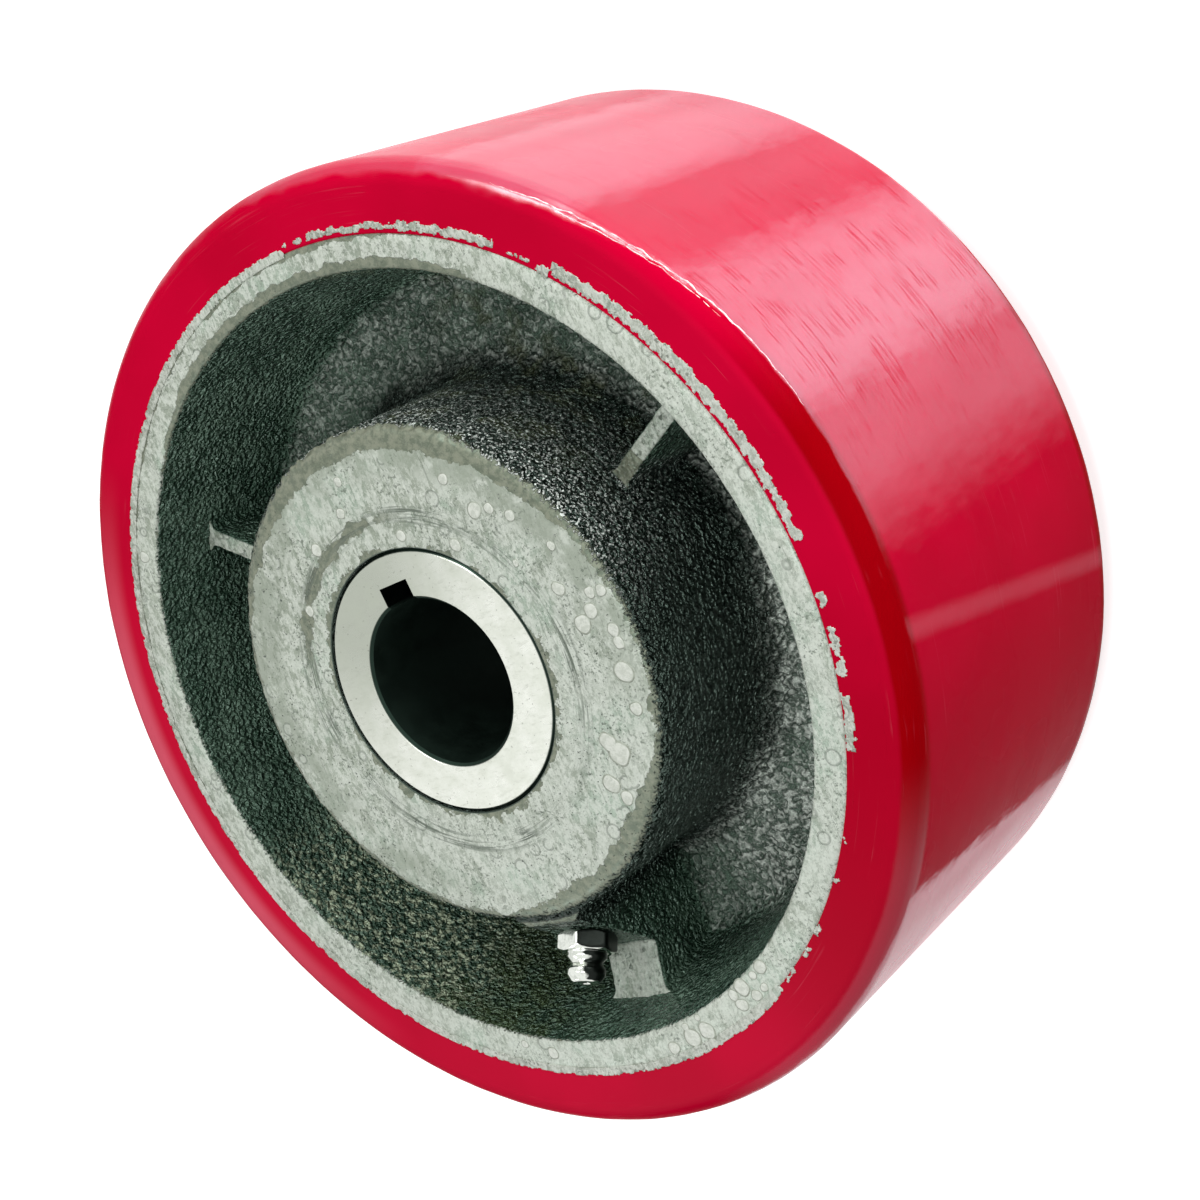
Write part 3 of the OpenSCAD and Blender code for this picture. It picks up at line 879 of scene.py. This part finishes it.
ribShape = {
    "width": 4.0,
    "top": 30.25,
    "draft": 2.5,
    "edge": 0.9,
    "fillet": 2.0,
    "step": 0.8,
    "rows": 26,
    "across": 3,
    "directions": {1: (27.7, 147.7), -1: (27.7, 147.7, 270.0)},
}
bossShape = {
    "width": 14.0,
    "direction": 270.0,
    "tilt": 37.0,
    "seat": (60.5, 37.35),
    "top": 46.05,
    "padTilt": 17.0,
    "round": 1.4,
    "edge": 0.7,
    "draft": 1.0,
    "fillet": 2.5,
    "step": 0.7,
    "rows": 30,
    "across": 9,
}
ribFoot = 1.2  # depth of a rib's foot in the web
ribEnds = 1.5  # depth of its ends in the hub and the rim


def ribSection(x, top, shape):
    # half of the cross-section, from the foot up and over to the middle of the top
    web, edge, fillet, across = coreShape["webHalf"], shape["edge"], shape["fillet"], shape["across"]
    low = web - ribFoot

    def sideAt(height):
        wide = shape["width"] / 2 + (top - height) * slope(shape["draft"]) + hollow(height - web, fillet)
        return wide + hollow(x - barrelR(height), fillet) + hollow(rimWallR(height) - x, fillet)

    heights = [low + (top - edge - low) * k / shape["rows"] for k in range(shape["rows"] + 1)]
    line = [(sideAt(height), height) for height in heights]
    shoulder = sideAt(top - edge)
    for k in range(1, 4):
        turn = math.pi / 2 * k / 3
        line.append((shoulder - edge * (1 - math.cos(turn)), top - edge + edge * math.sin(turn)))
    return line + [((shoulder - edge) * (1 - k / across), top) for k in range(1, across)]


def ribSkin(place):
    return 0.14 * lumps(place, 3.4, 3.1) + 0.16 * lumps(place, 1.7, 9.7)


def buildRib(name, direction, side, spine, shape):
    # spine is (distance from the axle, height of the top); both sides of the section are the same
    turn = Matrix.Rotation(math.radians(direction), 3, "Z")
    points = []
    for x, top in spine:
        half = ribSection(x, top, shape)
        full = [(-y, z) for y, z in half] + [(0.0, top)] + [(y, z) for y, z in reversed(half)]
        for y, z in full:
            points.append(turn @ Vector((x, y, 0)) + Vector((0, 0, wheel["middle"] + side * z)))
    rib = addPiece(name, points, joinRows(0, len(spine), len(full), "capped"), ironAndPaint)
    roughen(rib, ribSkin)
    return rib


def thinSpine():
    top = ribShape["top"]
    start = barrelR(top) - ribEnds
    end = rimWallR(top) + ribEnds
    steps = round((end - start) / ribShape["step"])
    return [(start + (end - start) * k / steps, top) for k in range(steps + 1)]


def bossSpine():
    shape = bossShape
    seat = Vector(shape["seat"])
    tilt, padTilt = math.radians(shape["tilt"]), math.radians(shape["padTilt"])
    down = Vector((math.sin(tilt), -math.cos(tilt)))
    pad = Vector((math.cos(padTilt), math.sin(padTilt)))
    crest = seat - down * (shape["top"] - seat.y) / -down.y
    rimEnd = Vector((rimWallR(ribShape["top"]), ribShape["top"]))
    valley = seat + down * (rimEnd - seat).cross(pad) / down.cross(pad)
    beyond = rimEnd + pad * ribEnds
    line = roundedLine([
        (barrelR(shape["top"]) - ribEnds, shape["top"], 0, shape["step"]),
        (crest.x, crest.y, shape["round"], shape["step"]),
        (valley.x, valley.y, shape["round"], shape["step"]),
        (beyond.x, beyond.y, 0, shape["step"]),
    ])
    return [(p.x, p.y) for p in line]


ribs = []
for side, label in ((1, "Front"), (-1, "Rear")):
    for i, direction in enumerate(ribShape["directions"][side]):
        ribs.append(buildRib("thinRib%s%d" % (label, i + 1), direction, side, thinSpine(), ribShape))
ribs.append(buildRib("fittingRib", bossShape["direction"], 1, bossSpine(), bossShape))
for piece in castings + ribs:
    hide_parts("core")
print("ribs", len(ribs))


# tread

treadShape = {
    "cornerR": 4.8,
    "groove": 0.3,
    "lipEdge": 0.12,
    "lipDepth": 1.25,
    "bondR": 88.92,
    "turns": 720,
    "steps": (0.6, 0.3, 1.6, 2.6, 1.6, 0.3, 0.6, 0),  # along its outline, from lip to lip
}


def treadSkin(place):
    # slightly wavy corners and faint flats across the running surface
    radius = math.hypot(place.x, place.y)
    if radius < 89.5:
        return 0.0
    height = abs(place.z - wheel["middle"])
    corner = smooth(136, 139, radius + height)
    flats = lumps(Vector((place.x, place.y, place.z * 0.15)), 11, 4.4)
    return corner * (0.05 * lumps(place, 9, 2.2) + 0.03 * lumps(place, 3.5, 6.1)) + 0.03 * flats


def buildTread():
    shape = treadShape
    rim, groove = wheel["rimTop"], shape["groove"]
    lip = coreShape["rimFace"] + 2 * groove
    half = [
        (shape["bondR"], rim - shape["lipDepth"], 0),
        (lip - groove, rim - groove, 0),
        (lip, rim, shape["lipEdge"]),
        (wheel["treadR"], rim, shape["cornerR"]),
    ]
    corners = half + [(x, -y, radius) for x, y, radius in reversed(half)]
    shown = roundedLine([(*corner, step) for corner, step in zip(corners, shape["steps"])])
    return lathe("treadBody", shown, [], shape["turns"], 1, treadRed, treadSkin)


tread = buildTread()
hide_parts("tread")
print("tread", len(tread.data.polygons))


# fine polished lips that the mould left along one stretch of the front corner

flashShape = {
    "sides": 8,
    "step": 0.25,
    "sunk": 0.04,
    "least": 0.01,
    # from and to in degrees round the axle, place on the rounded corner at both ends in degrees
    # from the running surface, and thickness
    "lines": [(15, 56, 6, 50, 0.5), (26, 50, 27, 54, 0.3)],
}


def buildFlash():
    shape = flashShape
    cornerR, sides = treadShape["cornerR"], shape["sides"]
    centre = Vector((wheel["treadR"] - cornerR, wheel["rimTop"] - cornerR))
    points, faces = [], []
    for start, end, first, last, thick in shape["lines"]:
        count = round((end - start) / shape["step"]) + 1
        faces += joinRows(len(points), count, sides, "capped")
        for i in range(count):
            share = i / (count - 1)
            turn = math.radians(start + (end - start) * share)
            wave = Vector((3.0 * start + 40 * turn, 0.5, 0.5))
            rise = math.radians(first + (last - first) * smooth(0, 1, share) + 5 * lumps(wave, 1.0, 3.3))
            out = Vector((math.cos(rise), math.sin(rise)))
            across = Vector((-out.y, out.x))
            radius = thick / 2 * math.sin(math.pi * share) ** 0.4 * (0.75 + 0.6 * lumps(wave, 0.3, 7.1))
            radius = max(radius, shape["least"])
            for k in range(sides):
                spin = 2 * math.pi * k / sides
                p = centre + out * (cornerR - shape["sunk"])
                p += radius * (out * math.cos(spin) + across * math.sin(spin))
                points.append(polar(p.x, turn, wheel["middle"] + p.y))
    flash = addPiece("cornerFlash", points, faces, lipRedAndHighlight)
    return flash


flash = buildFlash()
print("corner flash", len(flash.data.polygons))


# paint left on the tread's side wall

filmShape = {
    "thick": 0.12,
    "sunk": 0.05,
    "cell": 0.24,
    "inner": 87.25,
    "outer": 92.2,
    "middle": 89.5,
    # from and to in degrees round the axle, lowest and highest radius, and how whole the film is
    "front": [
        (88, 303, 87.3, 88.9, 0.9),
        (-77, -59, 87.3, 89.1, 0.9),
        (-56, -53, 87.9, 89.1, 0.55),
        (-51, -49, 87.9, 89.2, 0.45),
        (-47, -45, 87.8, 89.1, 0.45),
        (-39, -38, 88, 89.4, 0.5),
        (-33, -32, 88, 89.3, 0.4),
        (-21, -14, 88.3, 90.3, 0.45),
        (-12, -6, 88.4, 90.5, 0.5),
        (-4, -2, 88.8, 90.6, 0.45),
        (4, 13, 88.7, 90.9, 0.5),
        (13, 46, 88.8, 91.2, 0.6),
        (46, 48, 87.7, 89.8, 0.4),
        (49, 53, 88.6, 89.8, 0.25),
        (54, 68, 88.8, 90.3, 0.7),
        (68, 83, 88.9, 89.9, 0.75),
        (84, 88, 88.9, 89.7, 0.6),
    ],
    "rear": [
        (30, 74, 87.3, 89.2, 0.8),
        (80, 112, 88.8, 90.4, 0.4),
        (118, 260, 87.3, 89, 0.8),
        (268, 300, 88.8, 90.8, 0.5),
        (310, 380, 87.3, 89.1, 0.7),
    ],
}


def filmCover(radius, angle, side):
    # over 0 where the film is left, in units of about a millimetre
    cell = polar(radius, angle, 40.0 * side)
    ragged = 0.6 * lumps(cell, 2.3, 1.3) + 0.6 * lumps(cell, 1.15, 8.2) + 0.55 * lumps(cell, 0.6, 4.6)
    turn = math.degrees(angle)
    best = -1.0
    for start, end, low, high, whole in filmShape["front" if side > 0 else "rear"]:
        middle, half = (start + end) / 2, (end - start) / 2
        off = abs((turn - middle + 180) % 360 - 180)
        ends = (half - off) * radius * math.pi / 180
        within = min(ends, radius - low, high - radius, 0.8)
        if within > -0.5:
            best = max(best, within + whole * 0.8 - 0.55 + ragged * (1.25 - 0.5 * whole))
    return best


def buildFilm(name, side):
    # a fine grid round the wall, kept where the film is left, with its border pulled to the edge
    shape = filmShape
    inner, cell = shape["inner"], shape["cell"]
    rings = round((shape["outer"] - inner) / cell)
    turns = round(2 * math.pi * shape["middle"] / cell)
    top = wheel["middle"] + side * (wheel["rimTop"] + shape["thick"])
    cover = []
    for i in range(turns):
        angle = 2 * math.pi * i / turns
        cover.append([filmCover(inner + k * cell, angle, side) for k in range(rings + 1)])
    index, points, faces = {}, [], []

    def corner(i, k):
        i %= turns
        if (i, k) not in index:
            index[(i, k)] = len(points)
            value = cover[i][k]
            across = (cover[i][min(k + 1, rings)] - cover[i][max(k - 1, 0)]) / 2
            along = (cover[(i + 1) % turns][k] - cover[i - 1][k]) / 2
            steep = across * across + along * along + 0.02
            pull = max(-0.5, min(0.5, -value / steep)) if value < 0 else 0.0
            angle = 2 * math.pi * (i + pull * along) / turns
            points.append(polar(inner + (k + pull * across) * cell, angle, top))
        return index[(i, k)]

    for i in range(turns):
        here, beyond = cover[i], cover[(i + 1) % turns]
        for k in range(rings):
            if here[k] + beyond[k] + here[k + 1] + beyond[k + 1] > 0:
                faces.append((corner(i, k), corner(i + 1, k), corner(i + 1, k + 1), corner(i, k + 1)))
    film = addPiece(name, points, faces, paintFilm)
    thick = film.modifiers.new("thickness", "SOLIDIFY")
    thick.thickness = (shape["thick"] + shape["sunk"]) * mm
    thick.offset = -1.0
    return film


filmFront = buildFilm("paintFilmFront", 1)
filmRear = buildFilm("paintFilmRear", -1)
print("paint film", len(filmFront.data.polygons))


# thick drops of paint that dried on the machined faces

dropShape = {
    "thick": 0.1,
    "around": 28,
    # a pale cap with a thin dark skirt: share of the radius, share of the thickness
    "rings": ((0.6, 1), (0.78, 0.85), (0.86, 0.25), (1, 0.15), (1.01, -0.5)),
    # distance from the axle, angle round it in degrees, and width
    "hub": [
        (40, 16, 3), (46, 11, 2.5), (41, 5, 4), (44, 7, 3.5), (47, 1, 3), (47, -2, 3), (46, -9, 4.5),
        (47, -18, 3), (40, -29, 4), (43, -31, 5), (42, -41, 4), (46, -42, 3), (40, 48, 3.5),
        (37, 118, 3), (34, 141, 2.5), (43.5, 59, 2.5), (30.5, 78, 2.5), (31, 53, 3), (42, 44, 2.5),
        (43.5, 38, 2.5), (48.5, 10, 2.5), (44, 95, 2), (38.5, 100, 2.5), (36, 30, 1.5), (45, 25, 2),
    ],
    "rim": [
        (83, -57, 3), (83, -59, 2), (83, -62, 4), (83, -64, 2.5), (85.5, -64, 3), (85.5, -72, 4),
        (85.5, -75, 4.5), (86, -79, 3), (82.5, -72, 1.5), (83, -75, 2), (86, -59, 2), (86, -61, 2.5),
        (84.5, -101, 3), (83.5, -106, 2), (85, 149, 3),
    ],
}


def buildDropsOfPaint():
    shape = dropShape
    thick, around, rings = shape["thick"], shape["around"], shape["rings"]
    ways = [polar(1, 2 * math.pi * k / around, 0) for k in range(around)]
    points, faces = [], []
    places = [(*drop, wheel["hubTop"]) for drop in shape["hub"]]
    places += [(*drop, wheel["rimTop"]) for drop in shape["rim"]]
    for distance, turn, width, top in places:
        centre = polar(distance, math.radians(turn), wheel["middle"] + top)
        tip = len(points)
        points.append(centre + Vector((0, 0, thick)))
        for share, rise in rings:
            for way in ways:
                reach = width / 2 * share * (1 + 0.28 * lumps(centre + way * 1.6, 1.9, 2.9))
                points.append(centre + way * reach + Vector((0, 0, thick * rise)))
        first, last = tip + 1, tip + 1 + (len(rings) - 1) * around
        faces += [(tip, first + k, first + (k + 1) % around) for k in range(around)]
        faces += joinRows(first, len(rings), around, "open")
        faces.append(tuple(range(last, last + around)))
    spots = addPiece("paintDrops", points, faces, dropPaint)
    return spots


dropsOfPaint = buildDropsOfPaint()
print("paint drops", len(dropsOfPaint.data.polygons))


# grease fitting: a hexagon with rounded corners, a collar and a bulged head, with the channel that
# holds the ball and its spring

fittingShape = {
    "turn": 38.6,
    "flats": 11.1,
    "height": 4.2,
    "chamfer": 32.0,
    "bevel": 0.35,
    "corner": 26,  # the higher, the sharper the hexagon's corners
    "blend": 60,  # the higher, the sharper the line between the chamfer and the sides
    "sides": 144,
    "hexagonRows": 18,
    # outlines as (distance from the fitting's own axis, height over its seat), and for the head
    # also a corner radius and a step
    "outside": [(0.7, -7.2), (4.25, -7.2), (4.75, -6.2), (4.75, -0.1), (5.0, 0.0)],
    "head": [
        (5.0, 4.22, 0, 0.4), (4.15, 4.3, 0.2, 0.4), (4.15, 5.2, 0.45, 0.3), (3.35, 6.1, 0.35, 0.3),
        (3.35, 6.6, 0.3, 0.3), (4.05, 7.7, 0.9, 0.3), (4.0, 8.7, 0.8, 0.3), (3.0, 10.1, 0.5, 0.3),
        (2.6, 10.35, 0.25, 0.3), (1.1, 10.4, 0.2, 0.3), (0.85, 10.2, 0, 9),
    ],
    "channel": [(0.85, 9.9), (1.34, 9.24), (1.34, -6.6), (0.7, -6.6)],
}


def hexagonR(turn):
    # distance of the hexagon's side from the axis, with its corners eased
    shape = fittingShape
    total = 0.0
    for k in range(6):
        lean = math.cos(math.radians(turn - shape["turn"] - 30 - 60 * k))
        total += max(0.0, lean) ** shape["corner"]
    return shape["flats"] / 2 / total ** (1 / shape["corner"])


def fittingOutline():
    # (distance, height, whether the hexagon limits the distance) from the shank to the channel
    shape = fittingShape
    rows, height = shape["hexagonRows"], shape["height"]
    line = [(*p, False) for p in shape["outside"]]
    for k in range(rows + 1):
        z = height * (0.5 - 0.5 * math.cos(math.pi * k / rows))
        end = min(z, height - z)
        line.append((shape["flats"] / 2 - shape["bevel"] + end / slope(shape["chamfer"]), z, True))
    line += [(p.x, p.y, False) for p in roundedLine(shape["head"])]
    return line + [(*p, False) for p in shape["channel"]]


def seatFrame():
    # the seat's centre, two directions across it and the fitting's own axis
    tilt = math.radians(bossShape["tilt"])
    outward = Vector((0, -1, 0))
    seat = outward * bossShape["seat"][0] + Vector((0, 0, wheel["middle"] + bossShape["seat"][1]))
    first = outward * math.sin(tilt) - Vector((0, 0, math.cos(tilt)))
    axis = outward * math.cos(tilt) + Vector((0, 0, math.sin(tilt)))
    return seat, first, Vector((1, 0, 0)), axis


def buildFitting():
    sides, blend = fittingShape["sides"], fittingShape["blend"]
    seat, first, second, axis = seatFrame()
    outline = fittingOutline()
    points = []
    for i in range(sides):
        turn = 360 * i / sides
        way = first * math.cos(math.radians(turn)) + second * math.sin(math.radians(turn))
        for reach, height, hexagon in outline:
            if hexagon:
                reach = (reach ** -blend + hexagonR(turn) ** -blend) ** (-1 / blend)
            points.append(seat + way * reach + axis * height)
    faces = joinRows(0, sides, len(outline), "joined")
    fitting = addPiece("greaseFitting", points, faces, brightPlating)
    fitting.data.set_sharp_from_angle(angle=math.radians(40))
    return fitting


greaseFitting = buildFitting()
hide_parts("grease_fitting")
print("grease fitting", len(greaseFitting.data.polygons))


# coil spring under the check ball

springShape = {
    "turns": 9,
    "coilR": 1.04,
    "wireR": 0.15,
    "low": -6.42,
    "high": 8.14,
    "around": 20,
    "sides": 8,
    "travel": 0.8,
}


def buildSpring():
    shape = springShape
    seat, first, second, axis = seatFrame()
    count, sides, wireR = shape["turns"] * shape["around"], shape["sides"], shape["wireR"]
    length = shape["high"] - shape["low"]
    points = []
    for i in range(count + 1):
        turn = 2 * math.pi * i / shape["around"]
        way = first * math.cos(turn) + second * math.sin(turn)
        middle = seat + axis * (shape["low"] + length * i / count)
        for k in range(sides):
            spin = 2 * math.pi * k / sides
            reach = shape["coilR"] + wireR * math.cos(spin)
            points.append(middle + way * reach + axis * wireR * math.sin(spin))
    spring = addPiece("fittingSpring", points, joinRows(0, count + 1, sides, "capped"), springSteel)
    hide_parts("fitting_spring")
    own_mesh(spring)
    return spring


fittingSpring = buildSpring()
print("spring", len(fittingSpring.data.polygons))


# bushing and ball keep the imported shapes

for node, finish in (("keyed_bushing", turnedSteel), ("fitting_ball", ballSteel)):
    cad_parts[node].material_slots[0].material = finish
print("steel pieces finished")


# studio

studio = {
    "floorHalf": 4.0,
    "floorDrop": 0.0003,
    "white": colour(238, 238, 238),
    "glow": 0.66,
    "sky": 0.22,
    "camera": {"place": (283.3, 53.3, 372.0), "turn": (-24.264, 34.350, -27.500), "lens": 60.574},
    # name, azimuth and elevation in degrees, distance, width, height in mm and power in watts
    "lamps": [
        ("windowLamp", 62, 12, 800, 350, 240, 0.84),
        ("nearLamp", 33, 10, 600, 300, 220, 1.5),
        ("sideSoftbox", 84, 40, 700, 240, 240, 1.3),
        ("rightSoftbox", -20, 74, 900, 240, 240, 2.0),
        ("leftLamp", 225, 40, 900, 200, 200, 1.1),
        ("overheadSoftbox", 150, 80, 1200, 360, 360, 1.4),
    ],
}


def seenWhite(tree):
    # 1 for a ray from the camera and for what it meets in a mirror or behind a clear piece
    path = addNode(tree, "LightPath", {}).outputs
    return most(tree, path["Is Camera Ray"], path["Is Glossy Ray"], path["Is Transmission Ray"])


def buildFloor():
    material, tree, shader = newMaterial("floorWhite")
    feed(tree, shader, {
        "Base Color": studio["white"],
        "Roughness": 0.9,
        "Specular IOR Level": 0.0,
        "Emission Color": (1, 1, 1, 1),
        "Emission Strength": times(tree, seenWhite(tree), studio["glow"]),
    })
    bpy.ops.mesh.primitive_plane_add(size=2 * studio["floorHalf"], location=(0, 0, -studio["floorDrop"]))
    floor = bpy.context.object
    floor.name = "floor"
    floor.data.materials.append(material)


def buildWorld():
    world = bpy.data.worlds.new("studioSky")
    bpy.context.scene.world = world
    world.use_nodes = True
    tree = world.node_tree
    strength = scaled(tree, seenWhite(tree), 1.0 - studio["sky"], studio["sky"])
    feed(tree, tree.nodes["Background"], {"Color": (1, 1, 1, 1), "Strength": strength})


def buildLamps():
    aim = Vector((0, 0, wheel["middle"]))
    for name, azimuth, elevation, distance, width, height, power in studio["lamps"]:
        rise = math.radians(elevation)
        way = polar(math.cos(rise), math.radians(azimuth), math.sin(rise))
        lamp = bpy.data.lights.new(name, "AREA")
        lamp.shape = "RECTANGLE"
        lamp.size = width * mm
        lamp.size_y = height * mm
        lamp.energy = power
        holder = bpy.data.objects.new(name, lamp)
        holder.location = (aim + way * distance) * mm
        holder.rotation_euler = (-way).to_track_quat("-Z", "Y").to_euler()
        bpy.context.scene.collection.objects.link(holder)


def buildCamera():
    view = bpy.data.cameras.new("photoCamera")
    view.lens = studio["camera"]["lens"]
    view.sensor_width = 36
    view.sensor_fit = "HORIZONTAL"
    view.clip_start = 0.01
    holder = bpy.data.objects.new("photoCamera", view)
    holder.location = Vector(studio["camera"]["place"]) * mm
    holder.rotation_euler = [math.radians(a) for a in studio["camera"]["turn"]]
    bpy.context.scene.collection.objects.link(holder)
    bpy.context.scene.camera = holder


buildFloor()
buildWorld()
buildLamps()
buildCamera()
bpy.context.scene.view_settings.view_transform = "Standard"
print("studio ready")
